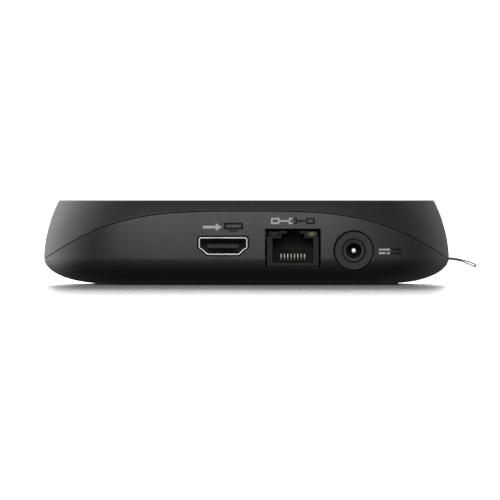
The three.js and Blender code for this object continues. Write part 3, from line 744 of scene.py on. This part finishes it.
VIDEO = middle("video_socket_shell")
VIDEO_BACK, VIDEO_FACE = (corner_point.y for corner_point in node_box("video_socket_shell"))
VIDEO_WALL = 0.45
NETWORK = middle("network_socket_housing")
NETWORK_LOW, NETWORK_HIGH = node_box("network_socket_housing")
POWER_X = middle("power_socket_pin").x
POWER_Z = middle("power_socket_pin").z
POWER_RADIUS = 5.8
USB = middle("usb_socket_shell")
USB_LOW, USB_HIGH = node_box("usb_socket_shell")
FINDER_Y = middle("finder_button").y
FINDER_Z = middle("finder_button").z
WINDOW_Z = 13.2
STATUS = middle("status_light_pipe")
TAG_Z = 7.78
RESET = middle("reset_switch_plunger")
CASE_SCREWS = [middle(f"case_screw_{i}") for i in (1, 2, 3, 4)]
BOARD_SCREWS = [middle(f"board_screw_{i}") for i in (1, 2, 3)]


def video_outline(grow):
    """Square shoulders above, a step and a slope below."""
    half = 7 + grow
    low = 9.55 - grow
    high = 14.1 + grow
    right = [
        (4.75 + grow / 2, low),
        (6.05 + grow * 0.8, 10.85 - grow / 2),
        (half, 11.3 - grow / 2),
        (half, high),
    ]
    left = [(-u, v) for u, v in reversed(right)]
    return rounded([(VIDEO.x + u, v) for u, v in right + left], 0.4 + grow)


def network_outline(grow):
    half = (NETWORK_HIGH.x - NETWORK_LOW.x) / 2 + 0.5 + grow
    low, high = NETWORK_LOW.z - 0.3 - grow, NETWORK_HIGH.z + 0.5 + grow
    return rectangle(NETWORK.x, (low + high) / 2, half, (high - low) / 2, 0.35 + grow)


def power_outline(grow):
    return circle(POWER_X, POWER_Z, POWER_RADIUS + GAP + grow, 96)


def usb_outline(grow):
    return rectangle(USB.y, USB.z, (USB_HIGH.y - USB_LOW.y) / 2 + 0.35 + grow, 3.1 + grow, 0.5 + grow)


def finder_outline(grow):
    return rectangle(FINDER_Y, FINDER_Z, 7 + grow, 2.5 + grow, 2.45 + grow, 12)


def window_outline(grow):
    return rectangle(0, WINDOW_Z, 8.7 + grow, 2.2 + grow, 1 + grow, 8)


def status_outline(grow):
    return circle(STATUS.x, STATUS.z, 1.1 + grow, 48)


def tag_outline(grow):
    return rectangle(0, TAG_Z, 6.4 + grow, 0.5 + grow, 0.2 + grow)


# ---------------------------------------- case


def upper_profile(angle):
    seam = seam_at(angle)
    rebate = min(seam + LAP_HEIGHT + GAP, CEILING_Z - 0.2)
    shoulder = HEIGHT - TOP_EDGE_RADIUS
    top = corner((30, HEIGHT), (lean(HEIGHT), HEIGHT), (lean(shoulder), shoulder), TOP_EDGE_RADIUS, 8)
    rim_in = (lean(seam) + LAP_OUTER, seam)
    rim = corner((lean(seam + 1), seam + 1), (lean(seam), seam), rim_in, EDGE)
    side = sweep(26, top[-1][1], rim[0][1], lambda z: (lean(z), z))
    return [
        *top,
        *side[1:-1],
        *rim,
        rim_in,
        (lean(rebate) + LAP_OUTER, rebate),
        (lean(rebate) + WALL, rebate),
        *sweep(6, rebate, CEILING_Z, lambda z: (lean(z) + WALL, z))[1:],
    ]


def lower_profile(angle):
    seam = seam_at(angle)
    foot = panel_inset(seam, WIDEST_Z)
    edge = seam - SEAM_GAP
    lip = min(seam + LAP_HEIGHT, CEILING_Z - 0.5)
    low = edge - 1

    def inside(turn):
        depth = WIDEST_Z - FLOOR_Z
        return (foot + WALL + INNER_UNDER_WIDTH * (1 - math.cos(turn)), WIDEST_Z - depth * math.sin(turn))

    ledge = (lean(edge) + LAP_INNER, edge)
    rim = corner(ledge, (panel_inset(seam, edge), edge), (panel_inset(seam, low), low), EDGE)
    wall_foot = min(rim[-1][1], WIDEST_Z)
    first = math.asin((WIDEST_Z - wall_foot) / (WIDEST_Z - BASE_Z))

    def under(turn):
        return (foot + UNDER_WIDTH * (1 - math.cos(turn)), WIDEST_Z - (WIDEST_Z - BASE_Z) * math.sin(turn))

    return [
        *sweep(8, math.pi / 2, 0, inside),
        (lean(lip) + WALL, lip),
        (lean(lip) + LAP_INNER, lip),
        ledge,
        *rim,
        *sweep(14, rim[-1][1], wall_foot, lambda z: (panel_inset(seam, z), z))[1:],
        *sweep(28, first, math.pi / 2, under)[1:],
    ]


def upper_shell():
    shell = wrap("upper_shell_skin", upper_profile)
    bosses = [rod_z(at.x, at.y, 6, CEILING_Z + 0.5, BOSS_RADIUS) for at in CASE_SCREWS]
    boolean(shell, bosses, "UNION")
    tools = [
        hole(wider(finder_outline, GAP), on_right, CUT_DEPTH),
        hole(wider(window_outline, GAP), on_front, CUT_DEPTH),
        hole(wider(status_outline, GAP), on_front, CUT_DEPTH),
        *side_cuts(),
        *[rod_z(at.x, at.y, 5, 14.5, SCREW_BORE) for at in CASE_SCREWS],
    ]
    boolean(shell, tools, "DIFFERENCE")
    shade(shell)
    dress(shell, "case_black", stands_for=["upper_shell"])


def side_cuts():
    """The openings that cross the parting line, for the USB socket and the tag."""
    return [hole(usb_outline, on_left, SIDE_CUT_DEPTH), hole(tag_outline, on_left, 4, 0.1)]


def wider(outline_at, gap):
    return lambda grow: outline_at(grow + gap)


def pad_outline(half):
    angles = [2 * math.pi * i / 192 for i in range(192)]
    return [tuple(half * part for part in plan_direction(angle)) for angle in angles]


PAD_HALF = node_box("base_pad")[1].x
PAD_TOP = node_box("base_pad")[1].z
BOARD_BOTTOM = node_box("main_board")[0].z


def lower_shell():
    shell = wrap("lower_shell_skin", lower_profile)
    posts = [rod_z(at.x, at.y, 2, 5.7, BOSS_RADIUS) for at in CASE_SCREWS]
    posts += [rod_z(at.x, at.y, 2, BOARD_BOTTOM - GAP, POST_RADIUS) for at in BOARD_SCREWS]
    boolean(shell, posts, "UNION")
    pocket = [[(u, v, z) for u, v in pad_outline(PAD_HALF + GAP)] for z in (-1, PAD_TOP + 0.25)]
    tools = [
        hole(wider(video_outline, VIDEO_WALL + 0.35), on_back, CUT_DEPTH),
        hole(network_outline, on_back, CUT_DEPTH),
        hole(power_outline, on_back, CUT_DEPTH),
        *side_cuts(),
        new_object("tool", *loft(pocket)),
        *[rod_z(at.x, at.y, -1, 7, SCREW_BORE) for at in CASE_SCREWS],
        *[rod_z(at.x, at.y, -2, 2.95, HEAD_BORE) for at in CASE_SCREWS],
        *[rod_z(at.x, at.y, 3.6, 9, POST_BORE) for at in BOARD_SCREWS],
        rod_z(RESET.x, RESET.y, -1.5, 5, RESET_BORE),
    ]
    boolean(shell, tools, "DIFFERENCE")
    shade(shell)
    dress(shell, "case_black", stands_for=["lower_shell"])


def base_pad():
    def outline(grow):
        return pad_outline(PAD_HALF + grow)

    pad = prism("base_pad_rubber", outline, (0, PAD_TOP), 0.3, flat_on_table)
    boolean(pad, [rod_z(RESET.x, RESET.y, -1, 3, RESET_BORE + GAP)], "DIFFERENCE")
    shade(pad)
    dress(pad, "pad_rubber", stands_for=["base_pad"])


def ir_window():
    window = plug("ir_window_lens", window_outline, on_front, -0.05, 3.4, 0.15)
    low, high = node_box("ir_window")

    def flange_outline(grow):
        return rectangle(0, (low.z + high.z) / 2, high.x + grow, (high.z - low.z) / 2 + grow, 0.4)

    flange = prism("tool", flange_outline, (high.y - 0.8, high.y), 0.1, along_y)
    boolean(window, [flange], "UNION")
    shade(window)
    dress(window, "window_tint", stands_for=["ir_window"])


def status_light():
    pipe = plug("status_light_lens", status_outline, on_front, -0.05, 4.4, 0.2)
    shade(pipe)
    dress(pipe, "light_pipe", stands_for=["status_light_pipe"])


def finder_button():
    cap = plug("finder_button_cap", finder_outline, on_right, 0.3, 4.4, 0.4)

    def flange_outline(grow):
        return rectangle(FINDER_Y, FINDER_Z, 8.6 + grow, 3.9 + grow, 2)

    low = node_box("finder_button")[0].x
    boolean(cap, [prism("tool", flange_outline, (low, low + 1.2), 0.1, along_x)], "UNION")
    shade(cap)
    dress(cap, "case_black", "finder_button", ["finder_button"])


upper_shell()
lower_shell()
base_pad()
ir_window()
status_light()
finder_button()

# ---------------------------------------- video socket


def video_socket():
    shell = tube("video_socket_rim", video_outline, (VIDEO_BACK, VIDEO_FACE), VIDEO_WALL, 0.08, along_y)
    dress(shell, "socket_steel", stands_for=["video_socket_shell"], finish="rolled_rim")
    refine("video_socket_insulator", "socket_plastic", 0.12, "tongue_plastic")
    refine("video_socket_contacts", "contact_gold", 0.03, "shaded_contact")


# ---------------------------------------- network socket


def network_wire(x):
    """A sprung wire: it comes out of the mouth's floor, stands up and leans back into the mouth."""
    face = NETWORK_HIGH.y
    floor_z = NETWORK_LOW.z + 1.2
    thick = 0.13
    line = [(face - 4, floor_z + 0.18), (face - 2.4, floor_z + 0.2), (face - 2.12, floor_z + 0.8)]
    line += [(face - 2.1, floor_z + 1.6), (face - 2.3, floor_z + 2.7), (face - 2.8, floor_z + 3.3)]
    line.append((face - 9.3, floor_z + 3.9))
    line = soften(line, 0.6, 6)

    def outline(grow):
        return thickened(line, thick + grow)

    return prism("wire", outline, (x - 0.22, x + 0.22), 0.05, along_x)


def network_socket():
    refine("network_socket_housing", "socket_plastic", 0.14)
    refine("network_light_green", "light_green", 0.12)
    refine("network_light_yellow", "light_yellow", 0.12)
    wires = [network_wire(NETWORK.x + CONTACT_PITCH * (i - 3.5)) for i in range(8)]
    contacts = joined("network_socket_wires", wires)
    shade(contacts)
    # the wires' gold is painted dark: painted shade inside the socket's mouth
    dress(contacts, "contact_gold", stands_for=["network_socket_contacts"], finish="painted_shade_contact")


# ---------------------------------------- power socket


def power_socket():
    low, high = node_box("power_socket_housing")
    back = 49
    floor_y = 51.5
    profile = [
        (0, back),
        (POWER_RADIUS, back),
        (POWER_RADIUS, high.y),
        (3.66, high.y),
        (3.56, high.y - 0.6),
        (3.36, high.y - 0.6),
        (3.26, high.y - 0.02),
        (2.4, high.y - 0.1),
        (2.15, high.y - 0.5),
        (2.15, floor_y),
        (0, floor_y),
    ]
    housing = turned_y("power_socket_barrel", POWER_X, POWER_Z, soften(profile, 0.16, 4))

    def rear_outline(grow):
        return rectangle(POWER_X, (low.z + high.z) / 2, 4.6 + grow, 5.1 + grow, 0.5)

    boolean(housing, [prism("tool", rear_outline, (low.y, back + 1), 0.2, along_y)], "UNION")
    spring_slot = [(-1.5, -4), (1.5, -4), (1.5, -1.5), (-1.5, -1.5)]
    cut = [[(POWER_X + x, y, POWER_Z + z) for x, z in spring_slot] for y in (52, 56.6)]
    boolean(housing, [new_object("tool", *loft(cut))], "DIFFERENCE")
    shade(housing, 30)
    dress(housing, "socket_plastic", stands_for=["power_socket_housing"], finish="barrel_plastic")
    start, end = (at.y for at in node_box("power_socket_pin"))
    foot = [(0, start), (1.3, start), (1.3, start + 0.6), (0.7, start + 0.9)]
    pin_profile = [*foot, (0.7, end), (0, end + 0.02)]
    pin = turned_y("power_socket_centre_pin", POWER_X, POWER_Z, soften(pin_profile, 0.16, 6), 48)
    shade(pin, 50)
    dress(pin, "socket_steel", stands_for=["power_socket_pin"], finish="turned_pin")
    refine("power_socket_sleeve_contact", "socket_steel", 0.05)


# ---------------------------------------- USB socket


def usb_socket():
    wall = 0.35

    def outline(grow):
        half = (USB_HIGH.y - USB_LOW.y) / 2 - wall + grow
        return rectangle(USB.y, USB.z, half, (USB_HIGH.z - USB_LOW.z) / 2 - wall + grow, 0.25 + grow)

    shell = tube("usb_socket_rim", outline, (USB_HIGH.x, USB_LOW.x), wall, 0.1, along_x)
    dress(shell, "socket_steel", stands_for=["usb_socket_shell"])
    refine("usb_socket_insulator", "socket_plastic", 0.12)
    refine("usb_socket_contacts", "contact_gold", 0.04)


# ---------------------------------------- woven tag

RIBBON_HALF_WIDTH = 6
RIBBON_THICK = 0.36
RIBBON_EXIT = -62.3  # where it leaves the case
RIBBON_REACH = 8.45  # how far it stands out
RIBBON_DROOP = 2.3
RIBBON_LOOP = 1.08  # thickness of the open loop at its tip
LOOP_SHARES = (-0.42, 0.42, 0.8, 0.95)  # of the reach: tail, start of the loop, full loop, start of the turn


def ribbon_line():
    """The ribbon's centreline in (x, z): out of the slot along the top, round the tip and back."""
    tail, parting, full, tip = LOOP_SHARES
    half_thin = RIBBON_THICK / 2 + 0.01
    half_loop = (RIBBON_LOOP - RIBBON_THICK) / 2

    def station(reach):
        x = RIBBON_EXIT - RIBBON_REACH * reach
        z = TAG_Z - RIBBON_DROOP * max(0, reach) ** 1.8
        opened = min(1, max(0, (reach - parting) / (full - parting)))
        opened = opened * opened * (3 - 2 * opened)
        return x, z, half_thin + (half_loop - half_thin) * opened

    stations = sweep(40, tail, tip, station)
    hem = [(x, z, half + 0.2 * max(0, 1 - i / 4)) for i, (x, z, half) in enumerate(stations)]
    slope = math.atan2(hem[-1][1] - hem[-2][1], hem[-1][0] - hem[-2][0])
    tip_x, tip_z, tip_half = hem[-1]
    top = [(x, z + half) for x, z, half in hem]
    low = [(x, z - half) for x, z, half in reversed(hem)]
    turn = []
    for i in range(1, 12):
        angle = math.pi / 2 + math.pi * i / 12
        out = 1.15 * tip_half * math.cos(angle)
        up = tip_half * math.sin(angle)
        turn.append((tip_x - out * math.cos(slope), tip_z + up - out * math.sin(slope)))
    return top + turn + low


def fabric_tag():
    line = evenly(ribbon_line(), 0.13)
    sides = normals_of(line)
    across = [RIBBON_HALF_WIDTH * (2 * i / 120 - 1) for i in range(121)]
    run = 0.0
    rings = []
    for i, ((x, z), (nx, nz)) in enumerate(zip(line, sides)):
        run += math.dist(line[i - 1], line[i]) if i else 0
        weft = 0.012 * math.cos(2 * math.pi * run / WEFT)
        ring = []
        for sign in (1, -1):
            for y in across if sign > 0 else reversed(across):
                rib = 0.02 * math.cos(2 * math.pi * y / RIB)
                margin = RIBBON_HALF_WIDTH - abs(y)
                edge = min(1, margin / 0.18)
                half = (RIBBON_THICK / 2 - 0.03 + rib + weft) * math.sqrt(max(0.02, edge * (2 - edge)))
                selvedge = 0.02 if margin < 0.6 else 0
                out = sign * (half + selvedge)
                ring.append((x + nx * out, y, z + nz * out))
        rings.append(ring)
    tag = new_object("fabric_tag_ribbon", *loft(rings))
    shade(tag, 60)
    dress(tag, "tag_fabric", stands_for=["fabric_tag"])


# ---------------------------------------- printed marks


def stroke(u0, u1, v0, v1):
    """A bar of print, with enough points along it to follow the case."""
    count = max(1, math.ceil(abs(u1 - u0) / 0.5))
    along = [u0 + (u1 - u0) * i / count for i in range(count + 1)]
    drawn = [(u, v0) for u in along] + [(u, v1) for u in reversed(along)]
    return printed([drawn])


def frame_mark(u, v, half_width, half_height, line):
    return printed([
        rectangle(u, v, half_width, half_height, 0.3),
        rectangle(u, v, half_width - line, half_height - line, 0.12),
    ])


def printed(outlines):
    """A thin layer of ink on the port panel, inside the first outline and outside the second."""
    over, under = -0.03, 0.04
    outer = outlines[0]
    rings = [[on_back(u, v, sink) for u, v in outer] for sink in (under, over)]
    if len(outlines) == 1:
        return new_object("ink", *loft(rings))
    rings += [[on_back(u, v, sink) for u, v in outlines[1]] for sink in (over, under)]
    return new_object("ink", *loft(rings, loop=True))


def video_mark():
    """An arrow into a screen."""
    x, z, line = VIDEO.x, 17.6, 0.62
    head = printed([[(x + 2.2, z - 1.2), (x + 2.2, z + 1.2), (x + 0.4, z)]])
    parts = [stroke(x + 2.3, x + 6.1, z - 0.42, z + 0.42), head]
    parts.append(frame_mark(x - 3.2, z + 0.3, 2.9, 1.05, line))
    parts.append(stroke(x - 1.8, x - 4.6, z - 1.35, z - 0.95))
    finish_mark("video_mark", parts, x)


def network_mark():
    """Three boxes on a line."""
    x, z, line = NETWORK.x, 19.45, 0.5
    parts = [frame_mark(x + 5.35 * i, z, 1.3, 0.95, line) for i in (-1, 0, 1)]
    parts += [stroke(x + 2.675 * i + 1.3, x + 2.675 * i - 1.3, z - 0.28, z + 0.28) for i in (-1, 1)]
    finish_mark("network_mark", parts, x)


def power_mark():
    """The sign for direct current: a line over three dashes."""
    x, z, half = -43.6, 10.2, 3.4
    parts = [stroke(x - half, x + half, z + 0.25, z + 0.85)]
    parts += [stroke(x + 2.4 * i - 1, x + 2.4 * i + 1, z - 0.85, z - 0.25) for i in (-1, 0, 1)]
    finish_mark("power_mark", parts, x)


def finish_mark(name, parts, x):
    mark = joined(name, parts)
    shade(mark, 30)
    # each mark's ink carries a painted highlight on its +X side
    print_with_painted_highlight(name, x)
    dress(mark, "print_grey", finish=name + "_ink_and_painted_highlight")


video_socket()
network_socket()
power_socket()
usb_socket()
fabric_tag()
video_mark()
network_mark()
power_mark()

# ---------------------------------------- camera, stage and light

FRAME_WIDTH = 154.2  # what the picture takes in across the middle of the case
CAMERA_DISTANCE = 4000
AIM = (-1.08, 0, 10.4)


def camera():
    data = bpy.data.cameras.new("camera")
    data.sensor_width = 36
    data.lens = data.sensor_width * CAMERA_DISTANCE / FRAME_WIDTH
    data.clip_end = 50
    made = placed("camera", data)
    turned_towards(made, Vector((AIM[0], CAMERA_DISTANCE, HEIGHT)) * MM, Vector(AIM) * MM)
    bpy.context.scene.camera = made


def floor():
    half = 12  # metres
    corners = [(-half, -half, 0), (half, -half, 0), (half, half, 0), (-half, half, 0)]
    mesh = bpy.data.meshes.new("floor")
    mesh.from_pydata(corners, [], [(0, 1, 2, 3)])
    made = placed("floor", mesh)
    made.location.z = -0.01 * MM  # just under the pad
    paper = Surface("floor_paper", Specular_IOR_Level=0.5)
    paper.colour(paper.blend(paper.noise(900, 2), (0.55, 0.55, 0.55), (0.57, 0.57, 0.57)))
    paper.roughness(paper.cloud(900, 2, 0.3, 0.7, 0.15, 0.16))
    mesh.materials.append(paper.material)
    made.visible_diffuse = False
    made.visible_glossy = False


def softbox(name, at, towards, width, height, power):
    data = bpy.data.lights.new(name, "AREA")
    data.shape = "RECTANGLE"
    data.size, data.size_y = width, height
    data.energy = power
    made = placed(name, data)
    turned_towards(made, at, towards)
    made.visible_camera = False


# azimuth, elevation, inner and outer radius, strength of each glow
GLOWS = [
    (122, 17, 12, 64, 1.5),
    (-128, 5, 5, 60, 0.28),
    (-42, 5, 4, 30, 0.5),
    (0, 8, 4, 13, 1.0),
    (0, -38, 0, 50, 0.2),
]
BACKDROP = (180, 5, 2.5, 7, 2.6)  # the glow beyond the case, which the table mirrors


def glow(sky, direction, azimuth, elevation, inner, outer, strength):
    """A round soft light far away: azimuth is from +Y towards +X, and all angles are in degrees."""
    around, up = math.radians(azimuth), math.radians(elevation)
    level = math.cos(up)
    dot = sky.add("ShaderNodeVectorMath", operation="DOT_PRODUCT")
    sky.link(direction, dot.inputs[0])
    dot.inputs[1].default_value = (math.sin(around) * level, math.cos(around) * level, math.sin(up))
    edge, full = math.cos(math.radians(outer)), math.cos(math.radians(inner))
    return sky.ranged(dot.outputs["Value"], edge, full, 0, strength, "SMOOTHSTEP")


def studio():
    softbox("fill", (0.35, 2.4, 0.86), (0, 0, 0.015), 2.2, 0.6, 28)
    softbox("top", (0, -1.4, 2.2), (0, 0, 0), 2.4, 2.4, 12)
    world = bpy.data.worlds.new("world")
    bpy.context.scene.world = world
    world.use_nodes = True
    sky = Nodes(world.node_tree)
    background = sky.tree.nodes["Background"]
    background.inputs["Color"].default_value = (1, 1, 1, 1)
    direction = sky.add("ShaderNodeTexCoord").outputs["Generated"]
    split = sky.add("ShaderNodeSeparateXYZ")
    sky.link(direction, split.inputs[0])
    height = split.outputs["Z"]
    above = sky.ranged(height, -0.012, 0.0, 0, 1, "SMOOTHSTEP")
    light = sky.math("MULTIPLY", glow(sky, direction, *BACKDROP), above)
    light = sky.math("ADD", light, sky.ranged(height, -0.1, 0.06, 0.025, 0.22, "SMOOTHSTEP"))
    for settings in GLOWS:
        light = sky.math("ADD", light, glow(sky, direction, *settings))
    mix = sky.add("ShaderNodeMix")
    sky.link(sky.add("ShaderNodeLightPath").outputs["Is Camera Ray"], mix.inputs[0])
    sky.link(light, mix.inputs[2])
    mix.inputs[3].default_value = 1.05  # white behind the case
    sky.link(mix.outputs[0], background.inputs["Strength"])


camera()
floor()
studio()
bpy.context.scene.view_settings.view_transform = "Standard"

# CAD nodes that keep their shape: slot and edge rounding
INNER = {
    **{f"case_screw_{i}": ("screw_steel", 0.12) for i in (1, 2, 3, 4)},
    **{f"board_screw_{i}": ("screw_steel", 0.1) for i in (1, 2, 3)},
    "main_board": ("board_green", 0.08),
    "main_processor": ("chip_black", 0.12),
    **{f"memory_chip_{i}": ("chip_black", 0.1) for i in (1, 2)},
    "flash_chip": ("chip_black", 0.1),
    "network_transformer": ("chip_black", 0.3),
    "thermal_pad": ("thermal_pad", 0.2),
    "heat_sink": ("heat_sink_aluminium", 0.15),
    "wireless_shield_can": ("socket_steel", 0.12),
    "timing_crystal": ("socket_steel", 0.25),
    "power_inductor": ("inductor_ferrite", 0.3),
    **{f"capacitor_{i}": ("capacitor_can", 0.1) for i in (1, 2, 3)},
    "ir_receiver": ("window_tint", 0.2),
    "status_led": ("switch_plunger", 0.15),
    **{f"antenna_{side}": ("antenna_copper", 0.06) for side in ("left", "right")},
    **{f"antenna_lead_{side}": ("lead_jacket", 0.05) for side in ("left", "right")},
    "finder_switch_body": ("chip_black", 0.2),
    "finder_switch_plunger": ("switch_plunger", 0.2),
    "reset_switch_body": ("chip_black", 0.15),
    "reset_switch_plunger": ("switch_plunger", 0.12),
}
for cad_name, (slot_name, edge_mm) in INNER.items():
    refine(cad_name, slot_name, edge_mm)
